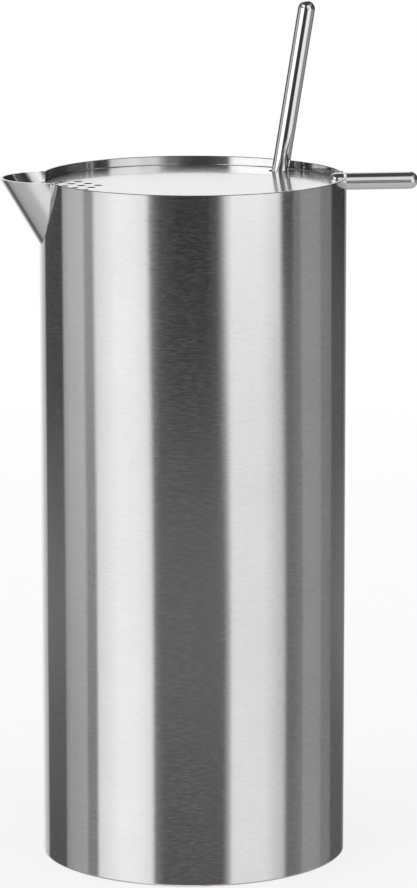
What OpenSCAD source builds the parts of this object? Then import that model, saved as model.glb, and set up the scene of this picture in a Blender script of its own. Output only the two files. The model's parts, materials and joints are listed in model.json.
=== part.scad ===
// Cocktail pitcher: a plain steel tube with a mitred spout, a strainer lid with a lifting pin,
// and a mixing spoon that leans in a hole in the lid.
// The origin is the centre of the standing edge, +Z is up, the pin points to +X and the spout to -X.

/* [Body] */
// Outer diameter of the tube
body_d = 105; // [90:1:120]
// Height from the standing edge to the rim
body_h = 236.5; // [180:0.5:260]
// Thickness of the tube's sheet, which the spout shares
wall = 1; // [0.8:0.1:1.4]
// Height of the base plate's underside above the standing edge
base_recess = 3; // [2:0.5:8]
// Thickness of the base plate
base_t = 1.2; // [0.8:0.1:2]

/* [Spout] */
// Outer diameter of the tube that the spout is cut from
spout_d = 33; // [24:0.5:36]
// How far the spout's tip stands out from the tube
spout_reach = 13.7; // [9:0.1:18]
// How far below the rim the spout's lowest point meets the tube
spout_drop = 23; // [16:0.5:32]

/* [Lid] */
// Depth of the lid's top below the rim
lid_drop = 3; // [2:0.5:6]
// Thickness of the lid's sheet
lid_t = 1; // [0.8:0.1:1.2]
// Outer radius of the lid's drawn edge
lid_edge_r = 1.3; // [1.25:0.05:2]
// Height of the lid's skirt, measured from the lid's top
lid_skirt_h = 8; // [6:0.5:14]
// Gap between the lid and the tube, all round
lid_gap = 0.3; // [0.3:0.05:0.6]
// Diameter of a strainer hole
strainer_hole_d = 3; // [2:0.1:3.6]
// Distance between neighbouring strainer holes
strainer_pitch = 5.8; // [5:0.1:6.2]
// Distance from the lid's edge to the outermost strainer holes' centres
strainer_inset = 4.2; // [3.8:0.1:6]

/* [Lifting pin] */
// Diameter of the lifting pin
pin_d = 6; // [4:0.5:8]
// How far the pin stands out from the tube
pin_reach = 25.3; // [15:0.1:35]
// How far the pin laps over the lid
pin_lap = 4.4; // [4:0.1:8]
// Gap between the pin and its notch in the rim
notch_gap = 0.4; // [0.3:0.1:0.8]

/* [Mixing spoon] */
// Diameter of the spoon's rod
rod_d = 6; // [4:0.5:7]
// Length of rod that stands above the lid
rod_above = 60; // [40:1:90]
// Lean of the rod from upright, in degrees
rod_lean = 9; // [4:0.1:9.5]
// Length of the spoon's bowl
bowl_l = 42; // [34:1:48]
// Width of the spoon's bowl
bowl_w = 26; // [20:1:28]
// Thickness of the bowl's sheet
bowl_t = 1.2; // [0.8:0.1:1.4]
// Radius of the sphere that the bowl is pressed to
bowl_dish_r = 51; // [44:1:70]
// Length of rod that is slotted over the bowl
bowl_lap = 8; // [6:0.5:12]
// Gap round the rod in the lid's hole
rod_play = 0.75; // [0.7:0.05:1]
// Distance from the lid's edge to the centre of the rod's hole
rod_hole_inset = 5.9; // [5.5:0.1:9]
// Direction of the rod's hole from the pin, in degrees
rod_hole_turn = 41.5; // [35:0.5:60]
// Direction that the rod leans to, from the pin, in degrees
rod_lean_turn = -7; // [-12:1:6]

/* [Lid rests] */
// Diameter of a rest stud inside the tube
stud_d = 3; // [2:0.5:4]
// How far a stud stands out from the tube's inner wall
stud_reach = 2; // [1.5:0.1:3]
// Gap between a resting piece and its seat
seat_gap = 0.3; // [0.3:0.05:0.5]

/* [Hidden] */
$fn = 96;

// One overrun serves all cuts
overrun = 2 * wall;

// The tube
body_r = body_d / 2;
bore_r = body_r - wall;
rim_bevel_share = 0.2;
rim_bevel = rim_bevel_share * wall;
foot_round_share = 0.6;
foot_round = foot_round_share * wall;

// The base plate is a shallow pan, turned down at its edge
floor_z = base_recess + base_t;
base_turn_share = 0.4;
base_turn_z = base_turn_share * base_recess;

// The spout is a straight offcut of tube, tilted until one side runs from the drop to the tip
spout_r = spout_d / 2;
spout_tilt = atan(spout_reach / spout_drop);
spout_axis_x = spout_r / cos(spout_tilt) - body_r - spout_reach;
spout_stock = 2 * spout_drop;

// The lid
lid_r = bore_r - lid_gap;
lid_top_z = body_h - lid_drop;
skirt_end_z = lid_top_z - lid_skirt_h;
strainer_columns = 2;
strainer_rows = 3;
column_step = strainer_pitch * sin(60);
strainer_out = lid_r - strainer_inset;

// The lifting pin lies half above the lid, with its axis in the lid's top face
pin_r = pin_d / 2;
pin_in = lid_r - pin_lap;
pin_out = body_r + pin_reach;

// The rests
stud_r = stud_d / 2;
stud_z = skirt_end_z - seat_gap - stud_r;
stud_turns = [0, 120, 240];

// The rod stands on the side of its hole that it leans to
rod_r = rod_d / 2;
rod_hole_r = rod_r + rod_play;
rod_hole_at = lid_r - rod_hole_inset;
rod_rest_share = 0.45;
rod_rest = rod_rest_share * rod_play;
hole_x = rod_hole_at * cos(rod_hole_turn);
hole_y = rod_hole_at * sin(rod_hole_turn);

// The bowl's outline is an oval of four arcs. The sides would just touch a slightly smaller end,
// so that they cut the real end cleanly.
half_l = bowl_l / 2;
half_w = bowl_w / 2;
end_arc_share = 0.65;
end_touch_share = 0.97;
end_arc_r = end_arc_share * half_w;
end_arc_at = half_l - end_arc_r;
touch_r = end_touch_share * end_arc_r;
side_arc_r = (half_w * half_w + end_arc_at * end_arc_at - touch_r * touch_r) / (2 * (half_w - touch_r));
arcs_meet_z = end_arc_at * side_arc_r / (side_arc_r - touch_r);

// Heights along the rod's own axis, measured from the lid's top
bowl_mid_z = (floor_z + seat_gap + end_arc_r - lid_top_z) / cos(rod_lean) + end_arc_at;
rod_end_z = bowl_mid_z + half_l - bowl_lap;
dish_mid_r = bowl_dish_r - bowl_t / 2;
dish_y = sqrt(dish_mid_r * dish_mid_r - half_l * half_l);

// What is cut away outside a rounded lower left corner
module corner_scrap(r) {
    difference() {
        translate([-overrun, -overrun])
            square(r + overrun);
        translate([r, r])
            circle(r);
    }
}

// Tube wall in section, with its rim bevelled on both edges and its standing edge rounded outside
module tube_section() {
    difference() {
        polygon([[bore_r, 0], [body_r, 0], [body_r, body_h - rim_bevel],
                 [body_r - rim_bevel, body_h], [bore_r + rim_bevel, body_h], [bore_r, body_h - rim_bevel]]);
        translate([body_r, 0])
            mirror([1, 0])
                corner_scrap(foot_round);
    }
}

// A round bar along the spout's axis, which passes above and below the cut pieces
module along_spout(r) {
    translate([spout_axis_x, 0, body_h])
        rotate([0, -spout_tilt, 0])
            translate([0, 0, -spout_stock])
                cylinder(r = r, h = 2 * spout_stock);
}

// Everything above the rim
module above_rim() {
    translate([-body_d, -body_d, body_h])
        cube([2 * body_d, 2 * body_d, spout_stock + spout_d]);
}

// U-shaped notch in the rim that lets the lifting pin down
module pin_notch() {
    notch_r = pin_r + notch_gap;
    translate([body_r - wall - overrun, 0, lid_top_z]) {
        rotate([0, 90, 0])
            cylinder(r = notch_r, h = wall + 2 * overrun);
        translate([0, -notch_r, 0])
            cube([wall + 2 * overrun, 2 * notch_r, lid_drop + overrun]);
    }
}

module body_tube() {
    color([0.70, 0.70, 0.71])
        difference() {
            rotate_extrude()
                tube_section();
            along_spout(spout_r - wall);
            pin_notch();
        }
}

module base_plate() {
    color([0.60, 0.60, 0.61])
        rotate_extrude()
            difference() {
                translate([0, base_turn_z])
                    square([bore_r, floor_z - base_turn_z]);
                translate([-overrun, base_turn_z - overrun])
                    square([bore_r - base_t + overrun, base_recess - base_turn_z + overrun]);
            }
}

// The offcut is saddled to the outside of the tube and trimmed level with the rim
module spout() {
    color([0.80, 0.80, 0.81])
        difference() {
            along_spout(spout_r);
            along_spout(spout_r - wall);
            cylinder(r = body_r, h = body_h + spout_stock);
            above_rim();
        }
}

// Short studs welded inside the tube, just below the lid's skirt
module lid_rest_studs() {
    color([0.55, 0.55, 0.56])
        for (turn = stud_turns)
            rotate([0, 0, turn])
                intersection() {
                    translate([bore_r - stud_reach, 0, stud_z])
                        rotate([0, 90, 0])
                            cylinder(r = stud_r, h = stud_reach + wall);
                    cylinder(r = bore_r, h = body_h);
                }
}

// Lid in section: a disc with its edge drawn down into a skirt
module lid_section() {
    inner_edge_r = lid_edge_r - lid_t;
    difference() {
        translate([0, skirt_end_z])
            square([lid_r, lid_skirt_h]);
        translate([lid_r, lid_top_z])
            mirror([1, 0])
                mirror([0, 1])
                    corner_scrap(lid_edge_r);
        difference() {
            translate([-overrun, skirt_end_z - overrun])
                square([lid_r - lid_t + overrun, lid_skirt_h - lid_t + overrun]);
            translate([lid_r - lid_t, lid_top_z - lid_t])
                mirror([1, 0])
                    mirror([0, 1])
                        corner_scrap(inner_edge_r);
        }
    }
}

// A straight hole down through the lid's disc
module lid_hole(x, y, r) {
    translate([x, y, lid_top_z - lid_t - overrun])
        cylinder(r = r, h = lid_t + 2 * overrun);
}

// Strainer holes on a grid of equal triangles, in columns that run towards the spout
module strainer_holes() {
    for (column = [-strainer_columns:strainer_columns]) {
        odd = abs(column) % 2;
        rows = strainer_rows - max(0, abs(column) - 1);
        for (row = [0:rows - 1]) {
            out = strainer_out - strainer_pitch * (row + (1 - odd) / 2);
            lid_hole(-out, column * column_step, strainer_hole_d / 2);
        }
    }
}

module strainer_lid() {
    color([0.88, 0.88, 0.89])
        difference() {
            rotate_extrude()
                lid_section();
            lid_hole(hole_x, hole_y, rod_hole_r);
            strainer_holes();
        }
}

// Round pin with domed ends, halved where it laps over the lid
module lifting_pin() {
    color([0.76, 0.76, 0.77])
        difference() {
            union() {
                translate([pin_in + pin_r, 0, lid_top_z])
                    rotate([0, 90, 0])
                        cylinder(r = pin_r, h = pin_out - pin_in - pin_d);
                for (x = [pin_in + pin_r, pin_out - pin_r])
                    translate([x, 0, lid_top_z])
                        sphere(r = pin_r);
            }
            translate([0, 0, lid_top_z - pin_d])
                cylinder(r = lid_r, h = pin_d);
        }
}

// Places a piece of the spoon: its own Z axis is the rod's, from the lid's top upwards
module in_the_lid() {
    translate([hole_x, hole_y, lid_top_z])
        rotate([0, 0, rod_lean_turn])
            translate([rod_rest, 0, 0])
                rotate([0, rod_lean, 0])
                    children();
}

// The lens between the bowl's two side arcs
module side_arcs() {
    intersection() {
        translate([half_w - side_arc_r, 0])
            circle(side_arc_r);
        translate([side_arc_r - half_w, 0])
            circle(side_arc_r);
    }
}

// The bowl's outline, which lies in the rod's own XZ plane once it is stood up
module bowl_outline() {
    intersection() {
        side_arcs();
        square([bowl_w, 2 * arcs_meet_z], center = true);
    }
    for (side = [-1, 1])
        translate([0, side * end_arc_at])
            circle(end_arc_r);
}

// Pressed sheet of the bowl, hollow towards the pitcher's middle
module bowl_shell() {
    translate([0, 0, bowl_mid_z])
        intersection() {
            translate([0, -dish_y, 0])
                difference() {
                    sphere(r = bowl_dish_r);
                    sphere(r = bowl_dish_r - bowl_t);
                }
            translate([0, half_w, 0])
                rotate([90, 0, 0])
                    linear_extrude(height = bowl_w)
                        bowl_outline();
        }
}

module spoon_rod() {
    color([0.82, 0.82, 0.83])
        in_the_lid()
            difference() {
                union() {
                    translate([0, 0, rod_end_z + rod_r])
                        cylinder(r = rod_r, h = rod_above - rod_end_z - rod_d);
                    for (z = [rod_end_z + rod_r, rod_above - rod_r])
                        translate([0, 0, z])
                            sphere(r = rod_r);
                }
                bowl_shell();
            }
}

module spoon_bowl() {
    color([0.74, 0.74, 0.75])
        in_the_lid()
            bowl_shell();
}

body_tube();
base_plate();
spout();
lid_rest_studs();
strainer_lid();
lifting_pin();
spoon_rod();
spoon_bowl();
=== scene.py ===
# %% [markdown]
# # A steel cocktail pitcher, dressed for its photograph
# This lesson starts from a measured model of a tall steel pitcher and gives it its looks. The model comes
# in as a fixed frame: eight solid pieces in metres, with the table at height zero, the lifting pin pointing
# to +X and the spout to -X. Nothing here moves or bends those pieces. They get their finishes, a weld that
# the model leaves out, a studio to stand in and a camera. Loading comes first.

# %% Load the frame
import json
import math

import bpy
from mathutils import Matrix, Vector


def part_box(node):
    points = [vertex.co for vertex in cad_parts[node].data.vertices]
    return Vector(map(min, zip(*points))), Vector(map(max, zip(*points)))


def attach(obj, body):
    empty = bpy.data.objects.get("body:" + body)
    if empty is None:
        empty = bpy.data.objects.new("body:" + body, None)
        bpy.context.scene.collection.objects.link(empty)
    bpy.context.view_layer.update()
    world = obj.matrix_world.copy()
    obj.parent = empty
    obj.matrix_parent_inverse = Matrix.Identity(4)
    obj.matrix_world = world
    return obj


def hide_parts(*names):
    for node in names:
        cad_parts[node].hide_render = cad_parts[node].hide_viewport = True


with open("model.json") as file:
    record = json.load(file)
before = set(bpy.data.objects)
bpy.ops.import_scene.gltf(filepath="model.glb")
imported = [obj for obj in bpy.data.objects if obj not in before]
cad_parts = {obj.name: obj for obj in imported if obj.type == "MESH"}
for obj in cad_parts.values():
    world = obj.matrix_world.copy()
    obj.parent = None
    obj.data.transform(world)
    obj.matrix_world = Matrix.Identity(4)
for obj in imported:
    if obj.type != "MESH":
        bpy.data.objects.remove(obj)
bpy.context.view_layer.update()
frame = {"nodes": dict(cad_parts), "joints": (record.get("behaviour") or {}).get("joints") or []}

MM = 0.001

# %% [markdown]
# ## Sizes that the lesson needs
# A dressing script shouldn't guess where things are. The tube's radius, the rim's height and the spout's
# tip are read from the boxes of the pieces, so they follow the model when it changes. The spout is a
# straight offcut of round tube, tilted outwards. Its tilt follows from how far its tip stands out and how
# far down it starts. Only its own radius can't be read from a box, because its widest part is cut away, so
# it is written here as a real size.

# %% Read the sizes
spout_radius = 16.5 * MM
tube_low, tube_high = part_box("body_tube")
spout_low, spout_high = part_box("spout")
tube_radius = (tube_high[1] - tube_low[1]) / 2
rim_z = tube_high[2]
spout_reach = -tube_radius - spout_low[0]
spout_drop = rim_z - spout_low[2]
spout_tilt = math.atan(spout_reach / spout_drop)
spout_axis_x = spout_radius / math.cos(spout_tilt) - tube_radius - spout_reach
print(f"tube radius {tube_radius / MM:.1f} mm, rim at {rim_z / MM:.1f} mm")
print(f"spout tilted {math.degrees(spout_tilt):.1f} degrees, and its axis crosses the rim's level at "
      f"{spout_axis_x / MM:.1f} mm")

# %% [markdown]
# ## The camera
# The picture is taken from about a metre and a half away with a long lens, a little above the rim, so the
# tube looks almost parallel and the rim is a flat ellipse. The pitcher is turned by seven degrees in it,
# which is the angle between the picture's width and the line from the spout to the pin. A camera that looks
# at a point beside the tube's axis puts the tube to the left in the frame, which leaves room for the pin,
# with no lens shift needed.

# %% Place the camera
turn = math.radians(-7)
picture_right = Vector((math.cos(turn), math.sin(turn), 0))
picture_away = Vector((-math.sin(turn), math.cos(turn), 0))
camera_distance = 1613.6 * MM
camera_height = 448.6 * MM
aim_right = 5.3 * MM
aim_height = 143.1 * MM
frame_height_px = 888
focal_length_px = 4764.2
sensor_mm = 36

camera_data = bpy.data.cameras.new("camera")
camera_data.sensor_width = sensor_mm
camera_data.lens = focal_length_px / frame_height_px * sensor_mm
camera_data.clip_start = 0.1
camera_data.clip_end = 100
camera = bpy.data.objects.new("camera", camera_data)
bpy.context.scene.collection.objects.link(camera)
bpy.context.scene.camera = camera
bpy.context.scene.view_settings.view_transform = "Standard"
camera.location = -picture_away * camera_distance + Vector((0, 0, camera_height))
aim = picture_right * aim_right + Vector((0, 0, aim_height))
camera.rotation_mode = "QUATERNION"
camera.rotation_quaternion = (aim - camera.location).to_track_quat("-Z", "Y")
print(f"lens {camera_data.lens:.1f} mm, {(aim - camera.location).length:.3f} m from what it looks at")

# %% [markdown]
# ## Small helpers for node trees
# Every finish below is a handful of nodes. Four helpers keep the cells short: one adds a node and sets it,
# one writes a sum, one carries a range of numbers over to another, and one draws a ramp of greys. A socket
# is set with a plain number or linked to another node's output.

# %% Helpers for nodes
def add(tree, kind, inputs=None, **settings):
    """Adds a node. Inputs are numbers, or outputs of other nodes to link."""
    made = tree.nodes.new(kind)
    for name, value in settings.items():
        setattr(made, name, value)
    for name, value in (inputs or {}).items():
        if isinstance(value, bpy.types.NodeSocket):
            tree.links.new(value, made.inputs[name])
        else:
            made.inputs[name].default_value = value
    return made


def maths(tree, operation, *values):
    """A Math node on up to three numbers or outputs, which gives its result."""
    return add(tree, "ShaderNodeMath", dict(enumerate(values)), operation=operation).outputs[0]


def spread(tree, value, low, high, new_low, new_high):
    """Carries a range of numbers over to another range, without leaving it."""
    ranges = {"Value": value, "From Min": low, "From Max": high, "To Min": new_low, "To Max": new_high}
    return add(tree, "ShaderNodeMapRange", ranges).outputs["Result"]


def ramp(tree, value, stops):
    """A ramp of greys through (place, level) stops, with straight runs between them."""
    made = add(tree, "ShaderNodeValToRGB", {"Fac": value})
    elements = made.color_ramp.elements
    while len(elements) < len(stops):
        elements.new(0.5)
    for element, (place, level) in zip(elements, stops):
        element.position = place
        element.color = (level, level, level, 1)
    return made.outputs["Color"]


print("helpers:", ", ".join(helper.__name__ for helper in (add, maths, spread, ramp)))

# %% [markdown]
# ## The studio
# Polished steel has no look of its own: what the eye reads as steel is a picture of the room. The long grey
# and white stripes on a round pitcher are the panels of the studio, which a photographer stands round it: a
# white panel at each side, a dark gap between them where the camera stands, grey and black screens further
# round, and a white wall behind. So the room is drawn first. It could be built from lamps and cards, but
# cards would stand in the way of other views, and small bright ones would be noisy. Here it is painted on
# the world.
#
# A panel is written as stops of a ramp round the compass. Each stop is a direction in degrees from the
# camera's side, with left as minus, and a level of grey, where 1 is white. The left half of the room comes
# first. Its white panel is the strongest one there is. Beyond it stand a grey screen and a black one, and
# then the wall.

# %% The left half of the room
LEFT_PANELS = [
    (-180, 0.98), (-165, 0.95), (-155.5, 0.66), (-149, 0.50),
    (-145, 0.08), (-116.5, 0.07),
    (-114.5, 0.44), (-108, 0.55), (-91, 0.62),
    (-89.3, 0.37), (-81.7, 0.36),
    (-79.2, 0.90), (-74, 0.97), (-60, 1.16), (-46, 1.13), (-37, 1.00), (-35.2, 0.85),
    (-32.7, 0.24), (-30, 0.18), (-25, 0.09), (-20, 0.07), (-12, 0.045),
    (0, 0.045), (180, 0.045),
]
brightest_left = max(LEFT_PANELS, key=lambda stop: stop[1])
print("brightest at the left:", brightest_left[1], "towards", brightest_left[0], "degrees")

# %% [markdown]
# The right half has a softer white panel, which fades on its far side. Beyond it stands a row of grey
# screens, and the last of them is the darkest. The wall behind is grey at its edge, and only its middle is
# white.

# %% The right half of the room
RIGHT_PANELS = [
    (-180, 0.045), (0, 0.045), (11, 0.045),
    (12.8, 0.06), (15.9, 0.10), (18.3, 0.22), (21.2, 0.46), (23.8, 0.90),
    (27, 0.97), (50, 0.95), (66, 0.66),
    (70.5, 0.20), (76, 0.19), (80, 0.22), (85.5, 0.24),
    (87.5, 0.35), (100, 0.35), (109, 0.33),
    (111, 0.26), (125, 0.23),
    (127.5, 0.12), (150, 0.11), (154.5, 0.08),
    (158.5, 0.18), (165, 0.33), (170.5, 0.50), (172.5, 0.98), (180, 0.98),
]
brightest_right = max(RIGHT_PANELS, key=lambda stop: stop[1])
print("brightest at the right:", brightest_right[1], "towards", brightest_right[0], "degrees")

# %% [markdown]
# Two more ramps belong to what lies low. The table is seen by everything that faces down, such as the
# spout's outside. The other ramp runs by height and says how dark the room can get there. Light that comes
# off the pale table fills the dark panels a little, so no stripe on the tube's lower half is quite black.

# %% The table and the darkest grey
TABLE = [
    (-180, 0.35), (-158, 0.36), (-147, 0.26), (-139, 0.11), (-132, 0.11), (-126, 0.36), (-106, 0.47),
    (-66, 0.57), (-46, 0.87), (-10, 0.96), (6, 0.90), (14, 0.56), (180, 0.45),
]
DARKEST = [(-16, 0.10), (-14.3, 0.125), (-12.7, 0.20), (-11.1, 0.14), (-9.8, 0.025), (-8, 0.03)]
print("stops in the room:", sum(len(stops) for stops in (LEFT_PANELS, RIGHT_PANELS, TABLE, DARKEST)))

# %% [markdown]
# ### Directions in the room
# The world shader is asked for a colour in one direction at a time. Two numbers say where that is: the
# compass direction, counted from the camera's side, and the height over the horizon. Both come from the
# ray's direction by plain trigonometry, so the room stands still when another camera looks at the pitcher.

# %% Read a ray's compass direction and height
world = bpy.data.worlds.new("studio")
bpy.context.scene.world = world
world.use_nodes = True
room = world.node_tree
room.nodes.clear()
direction = add(room, "ShaderNodeTexCoord").outputs["Generated"]


def along(vector):
    """How far a ray's direction runs along a fixed vector."""
    product = add(room, "ShaderNodeVectorMath", {0: direction, 1: vector}, operation="DOT_PRODUCT")
    return product.outputs["Value"]


compass = maths(room, "DEGREES", maths(room, "ARCTAN2", along(picture_right), along(-picture_away)))
height = maths(room, "DEGREES", maths(room, "ARCSINE", along(Vector((0, 0, 1)))))
print("nodes for the directions:", len(room.nodes))

# %% [markdown]
# The panels lean a little. On the real pitcher the edges of the stripes drift to one side towards the foot,
# by a few degrees. So the place in the ramp is the compass direction less a slant. The low slant is what
# the tube's lower half shows, and it grows from left to right and is less again far round. The high slant
# begins near the horizon, where the rod, the spout and the lid look, and the panels far to the right don't
# have it.

# %% Let the panels lean
LEFT_SLANT = 2
RIGHT_SLANT = 5.8
FAR_SLANT = 2.8
HIGH_SLANT = 3
GROWS_FROM, GROWS_TO = -100, 24
EASES_FROM, EASES_TO = 75, 130
LOW_UP_TO, LOW_GONE = -12, -7.5
FRONT_UP_TO, FRONT_GONE = 90, 120
HIGH_FROM, HIGH_FULL = -6, 7

left_to_right = spread(room, compass, GROWS_FROM, GROWS_TO, LEFT_SLANT, RIGHT_SLANT)
far_right = spread(room, compass, EASES_FROM, EASES_TO, 0, RIGHT_SLANT - FAR_SLANT)
lowness = spread(room, height, LOW_UP_TO, LOW_GONE, 1, 0)
low_slant = maths(room, "MULTIPLY", maths(room, "SUBTRACT", left_to_right, far_right), lowness)
in_front = spread(room, compass, FRONT_UP_TO, FRONT_GONE, 1, 0)
high_slant = maths(room, "MULTIPLY", in_front, spread(room, height, HIGH_FROM, HIGH_FULL, 0, HIGH_SLANT))
panel_place = maths(room, "SUBTRACT", compass, maths(room, "ADD", low_slant, high_slant))
print(f"slant from {LEFT_SLANT} to {RIGHT_SLANT} degrees low down, {HIGH_SLANT} degrees high up")

# %% [markdown]
# ### Painting with soft edges
# Three helpers paint the room. One lays stops round the compass, one blends two greys by a share, and one
# gives a window: nothing outside it, one inside it, and a slope at each edge, because a soft edge is what a
# panel out of focus has. A window with no end has only the rising slope, and one with no start only the
# falling one.

# %% Helpers for the room
HALF_TURN = 180
FULL_TURN = 360


def round_the_compass(place, stops):
    """A ramp of greys through stops given in degrees from the camera's side."""
    share = spread(room, place, -HALF_TURN, HALF_TURN, 0, 1)
    return ramp(room, share, [((degrees + HALF_TURN) / FULL_TURN, level) for degrees, level in stops])


def mixed(share, first, second, blend="MIX"):
    """Blends two greys by a share."""
    made = add(room, "ShaderNodeMix", data_type="RGBA", blend_type=blend)
    if isinstance(share, bpy.types.NodeSocket):
        room.links.new(share, made.inputs["Factor"])
    else:
        made.inputs["Factor"].default_value = share
    for name, value in (("A", first), ("B", second)):
        socket = [i for i in made.inputs if i.name == name and i.type == "RGBA"][0]
        if isinstance(value, bpy.types.NodeSocket):
            room.links.new(value, socket)
        else:
            socket.default_value = (value, value, value, 1)
    return [o for o in made.outputs if o.type == "RGBA"][0]


def window(value, start, full, end, gone):
    """Rises from start to full and falls from end to gone. A missing pair leaves its slope out."""
    slopes = []
    if start is not None:
        slopes.append(spread(room, value, start, full, 0, 1))
    if end is not None:
        slopes.append(spread(room, value, end, gone, 1, 0))
    return slopes[0] if len(slopes) == 1 else maths(room, "MULTIPLY", *slopes)


RIGHT_HALF = (-1, 1, None, None)
panels = mixed(window(compass, *RIGHT_HALF), round_the_compass(panel_place, LEFT_PANELS),
               round_the_compass(panel_place, RIGHT_PANELS))
print("nodes once the panels are up:", len(room.nodes))

# %% [markdown]
# ### Patches on the panels
# A ramp round the compass gives the same grey at every height, which no studio does. What differs by height
# is laid over it as patches. A patch has a level of grey, a strength, and a window each for compass and
# height. The first four belong to the panels themselves: the foot of the left screen is darker, a soft box
# stands over the left panel's near edge, and two of the right screens lie in shade from the rim's height
# up.

# %% Lay the first patches
PANEL_PATCHES = [
    ("foot of the left screen", 0, 0.28, (-120, -118, -78, -76), (None, None, -14.5, -9.5)),
    ("soft box at the left", 2.4, 0.45, (-69, -66, -30, -27), (-5, 0, None, None)),
    ("shade on the near right screen", 0, 0.6, (69, 71, 79, 81), (-9.4, -7.8, None, None)),
    ("shade on the far right screen", 0, 0.6, (126, 129, 158, 161), (-9.4, -7.8, None, None)),
]


def lay(patches, picture):
    """Lays patches over a picture of the room, in their order."""
    for name, level, strength, sideways, upwards in patches:
        where = maths(room, "MULTIPLY", window(compass, *sideways), window(height, *upwards))
        picture = mixed(maths(room, "MULTIPLY", where, strength), picture, level)
        print(f"{name}: {strength:.0%} of grey {level}")
    return picture


patched = lay(PANEL_PATCHES, panels)

# %% [markdown]
# Over the right screens the room is open and dark. The left part of the rim's inner face looks that way and
# is nearly black. The gap gets deeper further round, and it shifts a little the higher it is, so it isn't a
# plain patch. After it, nothing is left darker than the darkest grey of its height.

# %% Open the gap over the right screens
GAP_SIDES = (66.5, 69.5, 158, 161)
GAP_HEIGHTS = (-6, 2, 28, 38)
GETS_DEEPER = (110, 122, 0.72, 0.98)
GETS_SHIFTED = (8, 20, 0, 5)

gap_depth = maths(room, "MULTIPLY", window(height, *GAP_HEIGHTS), spread(room, compass, *GETS_DEEPER))
gap_place = maths(room, "ADD", compass, spread(room, height, *GETS_SHIFTED))
right_gap = maths(room, "MULTIPLY", window(gap_place, *GAP_SIDES), gap_depth)
with_gap = mixed(right_gap, patched, 0)

lowest, highest = DARKEST[0][0], DARKEST[-1][0]
low_share = spread(room, height, lowest, highest, 0, 1)
darkest_stops = [((place - lowest) / (highest - lowest), level) for place, level in DARKEST]
darkest = ramp(room, low_share, darkest_stops)
lightened = mixed(1.0, with_gap, darkest, "LIGHTEN")
print(f"the darkest greys run from {lowest} to {highest} degrees of height")

# %% [markdown]
# The last patches are small lamps and black flags. The pin shows a narrow window and a soft box over the
# camera as bright lines along its top. The flags take light off. One keeps the spout's inside dark. One
# hangs over the left panel, because the brushed wall gathers light from far above what a mirror shows. The
# last is a black band in the rim's inner face.

# %% Hang the small lamps and the flags
LAMPS_AND_FLAGS = [
    ("soft box at the right", 1.6, 0.35, (26, 29, 66, 69), (-9.5, -8, 10, 11.5)),
    ("narrow window", 0.8, 1.0, (10.5, 12.5, 15.5, 17.5), (-4.5, -3, 2, 3.5)),
    ("soft box over the camera", 0.92, 1.0, (7, 11, 30, 34), (12, 15, None, None)),
    ("flag for the spout", 0, 0.85, (23, 25, 41, 43), (-1.5, 0, 5, 6.5)),
    ("flag over the left panel", 0.05, 0.9, (-165, -160, -38, -33), (15, 20, 28, 38)),
    ("flag beside the left panel", 0, 0.95, (-87.5, -86, -79, -77.5), (1, 5, None, None)),
]
with_lamps = lay(LAMPS_AND_FLAGS, lightened)

# %% [markdown]
# The panels stop somewhere. Above them is a dark ceiling, and below them lies the table. The camera itself
# sees plain white, because the picture has a clean ground, and only the steel sees the room.

# %% Close the room with a ceiling and a table
CEILING_LEVEL = 0.06
CEILING_HEIGHTS = (48, 58, None, None)
TABLE_HEIGHTS = (None, None, -25, -20)
WHITE = 1.0

with_ceiling = mixed(window(height, *CEILING_HEIGHTS), with_lamps, CEILING_LEVEL)
with_table = mixed(window(height, *TABLE_HEIGHTS), with_ceiling, round_the_compass(compass, TABLE))
seen_by_camera = add(room, "ShaderNodeLightPath").outputs["Is Camera Ray"]
shown = mixed(seen_by_camera, with_table, WHITE)
background = add(room, "ShaderNodeBackground", {"Color": shown, "Strength": 1.0})
add(room, "ShaderNodeOutputWorld", {"Surface": background.outputs[0]})
print("nodes in the room:", len(room.nodes))

# %% [markdown]
# ## The floor
# The picture has a clean white ground. A plain pale floor gives that and still takes the soft shadow that
# ties the pitcher to it. It is a round sheet with no corner to show, made as rings of points.

# %% Lay the floor
def disc_mesh(name, radius, rings, spokes):
    """A flat round sheet at the table's height, in rings of even spacing."""
    points = [(0, 0, 0)]
    faces = []
    for ring in range(1, rings + 1):
        for spoke in range(spokes):
            angle = 2 * math.pi * spoke / spokes
            reach = radius * ring / rings
            points.append((reach * math.cos(angle), reach * math.sin(angle), 0))
    for spoke in range(spokes):
        following = (spoke + 1) % spokes
        faces.append((0, 1 + spoke, 1 + following))
        for ring in range(rings - 1):
            inner, outer = 1 + ring * spokes, 1 + (ring + 1) * spokes
            faces.append((inner + spoke, outer + spoke, outer + following, inner + following))
    mesh = bpy.data.meshes.new(name)
    mesh.from_pydata(points, [], faces)
    return mesh


floor_radius = 2.5
floor = bpy.data.objects.new("floor", disc_mesh("floor", floor_radius, rings=6, spokes=96))
bpy.context.scene.collection.objects.link(floor)
print(f"floor {2 * floor_radius:.1f} m across, {len(floor.data.polygons)} faces")

# %% [markdown]
# The floor's colour is mostly given to the camera directly and only about a fifth of it is lit, which keeps
# the shadow faint. Towards its edge it fades into the white behind it. Mirrors look through it to the
# studio's own table, which is smooth and has no edge.

# %% Finish the floor as pale paper
PAPER = [(0.3, 0.90), (0.7, 0.93)]
PAPER_GRAIN = 40
PAPER_DETAIL = 4
LIT_SHARE = 0.22
FADE_START, FADE_END = 0.12, 0.9

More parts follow.
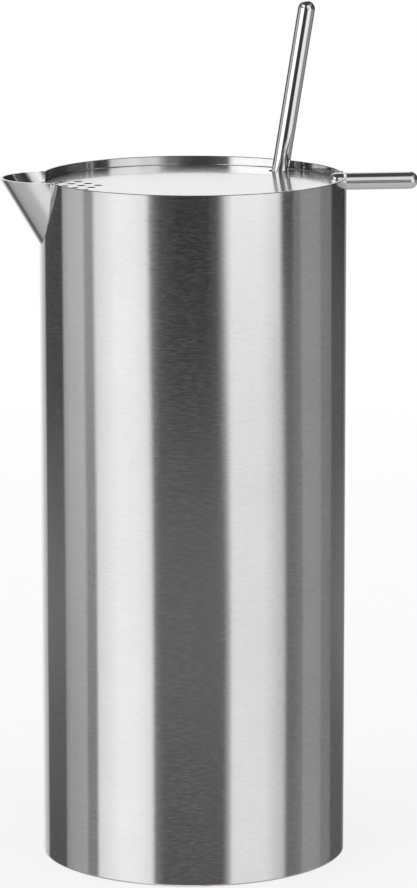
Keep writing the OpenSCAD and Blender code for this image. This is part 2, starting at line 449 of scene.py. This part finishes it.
floor_finish = bpy.data.materials.new("pale floor")
floor_finish.use_nodes = True
tree = floor_finish.node_tree
tree.nodes.clear()
path = add(tree, "ShaderNodeLightPath")
place = add(tree, "ShaderNodeTexCoord").outputs["Object"]
from_middle = add(tree, "ShaderNodeVectorMath", {0: place}, operation="LENGTH").outputs["Value"]
grain = add(tree, "ShaderNodeTexNoise", {"Vector": place, "Scale": PAPER_GRAIN, "Detail": PAPER_DETAIL})
lit = add(tree, "ShaderNodeBsdfDiffuse", {"Color": ramp(tree, grain.outputs["Fac"], PAPER)})
bright = add(tree, "ShaderNodeEmission", {"Color": (WHITE, WHITE, WHITE, 1), "Strength": 1.0})
clear = add(tree, "ShaderNodeBsdfTransparent")
lit_share = spread(tree, from_middle, FADE_START, FADE_END, LIT_SHARE, 0)
for_camera = add(tree, "ShaderNodeMixShader", {0: lit_share, 1: bright.outputs[0], 2: lit.outputs[0]})
for_others = add(tree, "ShaderNodeMixShader", {0: path.outputs["Is Camera Ray"], 1: lit.outputs[0],
                                               2: for_camera.outputs[0]})
for_mirrors = add(tree, "ShaderNodeMixShader", {0: path.outputs["Is Glossy Ray"], 1: for_others.outputs[0],
                                                2: clear.outputs[0]})
add(tree, "ShaderNodeOutputMaterial", {"Surface": for_mirrors.outputs[0]})
floor.data.materials.append(floor_finish)
print("the floor's finish:", floor_finish.name, "with", len(tree.nodes), "nodes")

# %% [markdown]
# ## The lamp
# One broad lamp overhead brings plain surfaces to the level that their colours say. It is kept out of the
# steel's reflections, because the real pitcher shows none above it.

# %% Hang the lamp
lamp_height = 1.5
lamp_data = bpy.data.lights.new("overhead lamp", "AREA")
lamp_data.shape = "SQUARE"
lamp_data.size = 1.2
lamp_data.energy = 14
lamp = bpy.data.objects.new("overhead lamp", lamp_data)
lamp.location = (0, 0, lamp_height)
lamp.visible_glossy = False
lamp.visible_camera = False
bpy.context.scene.collection.objects.link(lamp)
print(f"lamp {lamp_data.size:.1f} m wide at {lamp.location.z:.1f} m")

# %% [markdown]
# ## Finishes in steel
# All the pieces are the same metal, and only the polishing differs. One function makes them all: a metallic
# surface, fine scratches laid in one direction by stretching a noise texture, and slow blotches where
# cloths and hands have been. The scratches change the roughness, the brightness and the height by very
# little. What makes brushed steel look brushed is the direction of its gloss: a highlight spreads across
# the scratches and hardly along them, which is the shader's anisotropy.
#
# Two more things happen on real sheet. A deep scratch has lost its mirror, so a share of it scatters light,
# and a fine polish has rough scratches between smooth ground, which puts a haze round every reflection. The
# inside of a tube isn't polished with the outside: its scratches are shallow, and down below it keeps the
# grey finish that the mill gave the sheet.
#
# The work on the inside is a helper of its own. It tells the inside of the tube by the distance from the
# axis and the hidden part by its height, and gives back shallower scratches, a rougher gloss and a duller
# mirror.

# %% A helper for the inside of the tube
INSIDE_SHALLOWER = 0.7
MILL_ROUGHER = 0.25
MILL_DULLER = 0.45


def finish_inside(tree, place, radius, top, scratches, gloss, mirror):
    """Changes scratches, gloss and mirror within a radius, the last two only below a height."""
    level = add(tree, "ShaderNodeVectorMath", {0: place, 1: (1, 1, 0)}, operation="MULTIPLY")
    from_axis = add(tree, "ShaderNodeVectorMath", {0: level.outputs["Vector"]}, operation="LENGTH")
    within_wall = maths(tree, "LESS_THAN", from_axis.outputs["Value"], radius)
    depth = maths(tree, "MULTIPLY_ADD", within_wall, -INSIDE_SHALLOWER, 1.0)
    low = maths(tree, "LESS_THAN", add(tree, "ShaderNodeSeparateXYZ", {0: place}).outputs["Z"], top)
    milled = maths(tree, "MULTIPLY", within_wall, low)
    kept = maths(tree, "MULTIPLY_ADD", milled, -MILL_DULLER, 1.0)
    grooves = maths(tree, "MULTIPLY", scratches, depth)
    gloss = maths(tree, "MULTIPLY_ADD", milled, MILL_ROUGHER, gloss)
    return grooves, gloss, maths(tree, "MULTIPLY", mirror, kept)


print(f"scratches {INSIDE_SHALLOWER:.0%} shallower inside, and the mirror {MILL_DULLER:.0%} duller")

# %% [markdown]
# The function for steel takes a colour, a roughness and the scratches' spacing and depth, and has a few
# choices for what sets one finish apart. It is used for every piece below. The values over it are shared by
# all the finishes: how large the blotches are, what share of the wear they make, and which scratches count
# as deep.

# %% A function for steel
BLOTCH_SCALE = 28.0
BLOTCH_DETAIL = 3.0
BLOTCH_SHARE = 0.35
SCRATCH_SHARE = 0.65
SCRATCH_ROUGHNESS = 0.62
WEAR_LOW, WEAR_HIGH = 0.3, 0.7
DEEP_LOW, DEEP_HIGH = 0.45, 0.75
SCUFF_LOW, SCUFF_HIGH = 0.46, 0.66
QUARTER_TURN = 0.25


def steel(name, colour, roughness, scratch_scale, scratch_depth, tone=0.04, change=0.06, streak=0.0,
          dull=0.0, scuff=None, detail=4.0, inside=None):
    """A steel finish. Scratch scale is how many scratches lie in a metre along X, Y and Z. Tone and change
    are how much the wear alters the colour and the roughness. Streak is how one-sided the gloss is, dull is
    how much of its mirror the deepest scratches lose, and scuff is the roughness that they reach. Inside
    gives the radius and the height for the inside of the tube."""
    finish = bpy.data.materials.new(name)
    finish.use_nodes = True
    tree = finish.node_tree
    tree.nodes.clear()
    place = add(tree, "ShaderNodeTexCoord").outputs["Object"]
    stretched = add(tree, "ShaderNodeMapping", {"Vector": place, "Scale": scratch_scale})
    scratch_look = {"Vector": stretched.outputs[0], "Scale": 1.0, "Detail": detail,
                    "Roughness": SCRATCH_ROUGHNESS}
    scratches = add(tree, "ShaderNodeTexNoise", scratch_look).outputs["Fac"]
    blotch_look = {"Vector": place, "Scale": BLOTCH_SCALE, "Detail": BLOTCH_DETAIL}
    blotches = add(tree, "ShaderNodeTexNoise", blotch_look).outputs["Fac"]
    from_scratches = maths(tree, "MULTIPLY", scratches, SCRATCH_SHARE)
    wear = maths(tree, "MULTIPLY_ADD", blotches, BLOTCH_SHARE, from_scratches)
    tint = add(tree, "ShaderNodeValToRGB", {"Fac": wear})
    for element, position, shift in zip(tint.color_ramp.elements, (WEAR_LOW, WEAR_HIGH), (-tone, tone)):
        element.position = position
        element.color = [min(1, c * (1 + shift)) for c in colour] + [1]
    gloss = spread(tree, wear, WEAR_LOW, WEAR_HIGH, roughness * (1 - change), roughness * (1 + change))
    if scuff:
        gloss = spread(tree, scratches, SCUFF_LOW, SCUFF_HIGH, roughness, scuff)
    mirror = spread(tree, scratches, DEEP_LOW, DEEP_HIGH, 1, 1 - dull)
    grooves = scratches
    if inside:
        grooves, gloss, mirror = finish_inside(tree, place, *inside, scratches, gloss, mirror)
    relief = add(tree, "ShaderNodeBump", {"Strength": 1.0, "Distance": scratch_depth, "Height": grooves})
    metal = add(tree, "ShaderNodeBsdfPrincipled", {"Base Color": tint.outputs["Color"], "Metallic": 1.0,
                                                   "Roughness": gloss, "Normal": relief.outputs[0]})
    if dull:
        tree.links.new(mirror, metal.inputs["Metallic"])
    if streak:
        round_z = add(tree, "ShaderNodeTangent", direction_type="RADIAL", axis="Z")
        metal.inputs["Anisotropic"].default_value = streak
        metal.inputs["Anisotropic Rotation"].default_value = QUARTER_TURN
        tree.links.new(round_z.outputs[0], metal.inputs["Tangent"])
    add(tree, "ShaderNodeOutputMaterial", {"Surface": metal.outputs[0]})
    return finish


def dress(node, finish):
    """Gives a piece of the frame its finish."""
    for place in frame["nodes"][node].material_slots:
        place.material = finish
    print(node, "is dressed in", finish.name)


print(f"wear is {SCRATCH_SHARE:.0%} scratches and {BLOTCH_SHARE:.0%} blotches")

# %% [markdown]
# ### The brushed tube
# The tube was turned against an abrasive belt, so its scratches run round it and are long and very thin.
# The noise is squeezed in height and stretched level, which makes rings with no seam. The gloss is spread
# up and down, so the studio's panels blur in height into long stripes, and their sides stay crisp. The belt
# only reaches the outside. Inside, the grey mill finish starts at the lower edge of the lid's skirt.

# %% Brush the tube
half_wall = 0.5 * MM
skirt_edge_depth = 11 * MM
inside_of_tube = (tube_radius - half_wall, rim_z - skirt_edge_depth)
round_brushed = steel("round brushed steel", (0.72, 0.72, 0.725), 0.085, (400, 400, 2200), 0.006 * MM,
                      tone=0.08, change=0.15, streak=0.78, dull=0.085, detail=2.0, inside=inside_of_tube)
dress("body_tube", round_brushed)

# %% [markdown]
# ### The base plate and the rest studs
# These are hardly seen. They are left as they come, a grey satin that is much duller than the tube, so that
# some light reaches the eye from the bottom when the lid is off.

# %% Finish the base
grey_satin = steel("grey satin steel", (0.62, 0.62, 0.63), 0.36, (900, 900, 900), 0.006 * MM, dull=0.9)
dress("base_plate", grey_satin)
dress("lid_rest_studs", grey_satin)

# %% [markdown]
# ### The spout
# The spout is polished by hand after it is welded on, which leaves a smooth satin face with only faint
# marks that run up and down.

# %% Polish the spout
hand_satin = steel("hand satin steel", (0.76, 0.76, 0.765), 0.13, (320, 320, 60), 0.002 * MM, tone=0.02)
dress("spout", hand_satin)

# %% [markdown]
# ### The lid
# The lid is nearly a mirror. The rim's inner face stands upside down in it, with a haze that grows away
# from the wall, and the rest shows the white wall behind. A duller metal would grey the whole lid. What
# makes this haze is rough scratches between smooth ground, so fine that no single one is seen.

# %% Polish the lid
mirror_sheet = steel("mirror sheet steel", (0.83, 0.83, 0.835), 0.07, (4000, 6000, 4000), 0.0001 * MM,
                     tone=0.01, detail=2.0, scuff=0.43)
dress("strainer_lid", mirror_sheet)

# %% [markdown]
# ### The rod and the spoon's bowl
# Bar that is drawn and buffed reflects the panels as clean narrow lines. The wheel leaves hardly a mark on
# the bar, and what it leaves has no direction. The bowl is buffed on the same wheel after it is pressed,
# and it keeps faint marks across it.

# %% Buff the spoon
buffed = steel("buffed bar steel", (0.80, 0.80, 0.805), 0.09, (400, 400, 400), 0.0006 * MM, tone=0.02)
buffed_bowl = steel("buffed bowl steel", (0.78, 0.78, 0.785), 0.12, (300, 60, 300), 0.0008 * MM, tone=0.02)
dress("spoon_rod", buffed)
dress("spoon_bowl", buffed_bowl)

# %% [markdown]
# ### The pin
# The pin is the same bar, but fingers lift the lid by it, and it has gone satin. Its scratches run along
# it, and its stripes are softer than the rod's.

# %% Finish the pin
satin_bar = steel("satin bar steel", (0.79, 0.79, 0.795), 0.19, (120, 1500, 1500), 0.002 * MM, tone=0.06,
                  detail=2.0)
dress("lifting_pin", satin_bar)

# %% [markdown]
# ### A finer rod
# The rod is the piece that shows its reflections most clearly, as straight lines from end to end, and the
# frame's mesh of it is too coarse to keep them straight. So it is turned again here, on the same axis and
# to the same length. The axis is the one that the spoon slides along, and the ends come from the frame's
# box. A lathe would do it the same way: a half outline, here a straight side with a round at each end, is
# swept round the axis.

# %% Find the rod's ends
rod_radius = 3 * MM
slide = [joint for joint in frame["joints"] if joint["name"] == "spoon_slide"][0]
rod_along = Vector(slide["axis"]).normalized()
rod_low, rod_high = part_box("spoon_rod")
rod_top = Vector((rod_high.x, rod_low.y, rod_high.z)) + Vector((-1, 1, -1)) * rod_radius
rod_bottom = rod_top - rod_along * (rod_high.z - rod_low.z - 2 * rod_radius) / rod_along.z
print("rod length in mm:", round((rod_top - rod_bottom).length / MM + 2 * rod_radius / MM, 1))

# %% [markdown]
# The outline is a list of rings: a few that grow from the lower tip to the full radius, then the same ones
# backwards at the upper end. Ninety-six points to a ring keep the stripes straight even close up.

# %% Turn the rod
def turned_bar(name, low_end, high_end, radius, spokes=96, round_steps=16):
    """A straight bar with half-ball ends, as rings of points along the line between its ends' centres."""
    along_bar = (high_end - low_end).normalized()
    across = along_bar.orthogonal().normalized()
    beside = along_bar.cross(across)
    rings = []
    for step in range(1, round_steps + 1):
        angle = math.pi / 2 * step / round_steps
        rings.append((low_end - along_bar * radius * math.cos(angle), radius * math.sin(angle)))
    for step in range(round_steps, 0, -1):
        angle = math.pi / 2 * step / round_steps
        rings.append((high_end + along_bar * radius * math.cos(angle), radius * math.sin(angle)))
    points = [low_end - along_bar * radius]
    for middle, reach in rings:
        for spoke in range(spokes):
            angle = 2 * math.pi * spoke / spokes
            points.append(middle + (across * math.cos(angle) + beside * math.sin(angle)) * reach)
    points.append(high_end + along_bar * radius)
    last = len(points) - 1
    faces = []
    for spoke in range(spokes):
        following = (spoke + 1) % spokes
        faces.append((0, 1 + following, 1 + spoke))
        for ring in range(len(rings) - 1):
            inner, outer = 1 + ring * spokes, 1 + (ring + 1) * spokes
            faces.append((inner + spoke, inner + following, outer + following, outer + spoke))
        top = 1 + (len(rings) - 1) * spokes
        faces.append((last, top + spoke, top + following))
    mesh = bpy.data.meshes.new(name)
    mesh.from_pydata([tuple(point) for point in points], [], faces)
    for face in mesh.polygons:
        face.use_smooth = True
    return mesh


rod_mesh = turned_bar("smooth_spoon_rod", rod_bottom, rod_top, rod_radius)
rod = bpy.data.objects.new("smooth_spoon_rod", rod_mesh)
bpy.context.scene.collection.objects.link(rod)
rod.data.materials.append(buffed)
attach(rod, "spoon")
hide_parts("spoon_rod")
print("rod faces:", len(rod.data.polygons))

# %% [markdown]
# ## The weld between spout and tube
# On the real pitcher the spout is welded on and the weld is ground to a small hollow fillet. It is sharp at
# its lowest point and about a millimetre large at the rim. It could be carved with a bevel modifier, but
# the two pieces aren't one mesh. It is easier to think of a ball that rolls down the valley between two
# cylinders and shrinks as it goes: its centre stays one ball's radius away from both, and the fillet is the
# arc between the two points that it touches. The centre's path is found for each height by a little
# algebra, where the circle round the tube's axis meets the ellipse round the spout's.

# %% Roll the ball down the valley
least_fillet = 0.15 * MM
most_fillet = 1.0 * MM
spout_along = Vector((-math.sin(spout_tilt), 0, math.cos(spout_tilt)))
spout_start = Vector((spout_axis_x, 0, rim_z))


def ball_radius(z):
    """The weld is ground to an edge at its lowest point and grows towards the rim."""
    share = min(1, max(0, (z - rim_z + spout_drop) / spout_drop))
    return least_fillet + (most_fillet - least_fillet) * share**3


def ball_centre(z, side):
    """Centre of the ball at a height, on one side of the spout, or None below the valley's end."""
    far_tube = tube_radius + ball_radius(z)
    far_spout = spout_radius + ball_radius(z)
    lean = math.cos(spout_tilt)
    offset = -spout_axis_x * lean + (z - rim_z) * math.sin(spout_tilt)
    a = lean * lean - 1
    b = 2 * lean * offset
    c = offset * offset + far_tube**2 - far_spout**2
    root = b * b - 4 * a * c
    if root < 0:
        return None
    answers = ((-b + math.sqrt(root)) / (2 * a), (-b - math.sqrt(root)) / (2 * a))
    x = min(answers, key=lambda answer: abs(answer + far_tube))
    y_square = far_tube**2 - x * x
    return Vector((x, side * math.sqrt(y_square), z)) if y_square > 0 else None


print("the ball's centre at the rim, in mm:", [round(v / MM, 2) for v in ball_centre(rim_z, -1)])

# %% [markdown]
# The ball touches the tube straight towards the tube's axis, and the spout straight towards the spout's. It
# stops rolling at the height where the two sides of the valley meet on the spout's middle line, which is
# found by halving: a height with a centre is too high or right, and one without is too low.

# %% Find where the ball touches and where it stops
HALVINGS = 60


def touches(centre):
    """Where the ball touches the tube and where it touches the spout."""
    tube_side = Vector((centre.x, centre.y, 0)).normalized()
    on_tube = centre - tube_side * ball_radius(centre.z)
    foot = spout_start + spout_along * (centre - spout_start).dot(spout_along)
    on_spout = centre - (centre - foot).normalized() * ball_radius(centre.z)
    return on_tube, on_spout


def lowest_centre():
    """The height at which the ball, rolling down, reaches the spout's middle line."""
    high, low = rim_z, rim_z - 2 * spout_drop
    for _ in range(HALVINGS):
        middle = (high + low) / 2
        if ball_centre(middle, 1) is None:
            low = middle
        else:
            high = middle
    return high


print("the ball stops at", round(lowest_centre() / MM, 2), "mm")

# %% [markdown]
# The fillet is then a row of thin wedges from the rim down one side, round the lowest point and up the
# other. Each wedge is an arc on the outside and the valley's corner on the inside, so the piece is a closed
# solid. The wedges lie closer together near the lowest point, where the two sides run into each other.

# %% Build the weld
CORNER_REACH = 0.5


def wedge(centre, arc_steps):
    """One section of the weld: points along its hollow arc, then the corner behind it."""
    on_tube, on_spout = touches(centre)
    first = (on_tube - centre).normalized()
    last = (on_spout - centre).normalized()
    radius = ball_radius(centre.z)
    arc = [centre + first.slerp(last, step / arc_steps) * radius for step in range(arc_steps + 1)]
    middle = (on_tube + on_spout) / 2
    behind = middle + (middle - centre) * CORNER_REACH
    return arc + [behind]


def weld_mesh(stations=48, arc_steps=10):
    """The weld as a closed strip, from the rim on one side to the rim on the other."""
    bottom = lowest_centre()
    shares = [math.sin(math.pi / 2 * s / stations) for s in range(stations + 1)]
    heights = [bottom + (rim_z - bottom) * (1 - share) for share in shares]
    centres = [ball_centre(z, -1) for z in heights] + [ball_centre(z, 1) for z in reversed(heights[:-1])]
    sections = [wedge(c, arc_steps) for c in centres]
    size = arc_steps + 2
    points = [p for section in sections for p in section]
    faces = []
    for s in range(len(sections) - 1):
        near, far = s * size, (s + 1) * size
        for k in range(size):
            following = (k + 1) % size
            faces.append((near + k, near + following, far + following, far + k))
    faces.append(tuple(range(size)))
    faces.append(tuple(reversed(range((len(sections) - 1) * size, len(sections) * size))))
    mesh = bpy.data.meshes.new("spout_weld")
    mesh.from_pydata([tuple(p) for p in points], [], faces)
    return mesh


weld = bpy.data.objects.new("spout_weld", weld_mesh())
bpy.context.scene.collection.objects.link(weld)
for face in weld.data.polygons:
    face.use_smooth = len(face.vertices) == 4
weld.data.materials.append(hand_satin)
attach(weld, "pitcher")
print("weld faces:", len(weld.data.polygons))
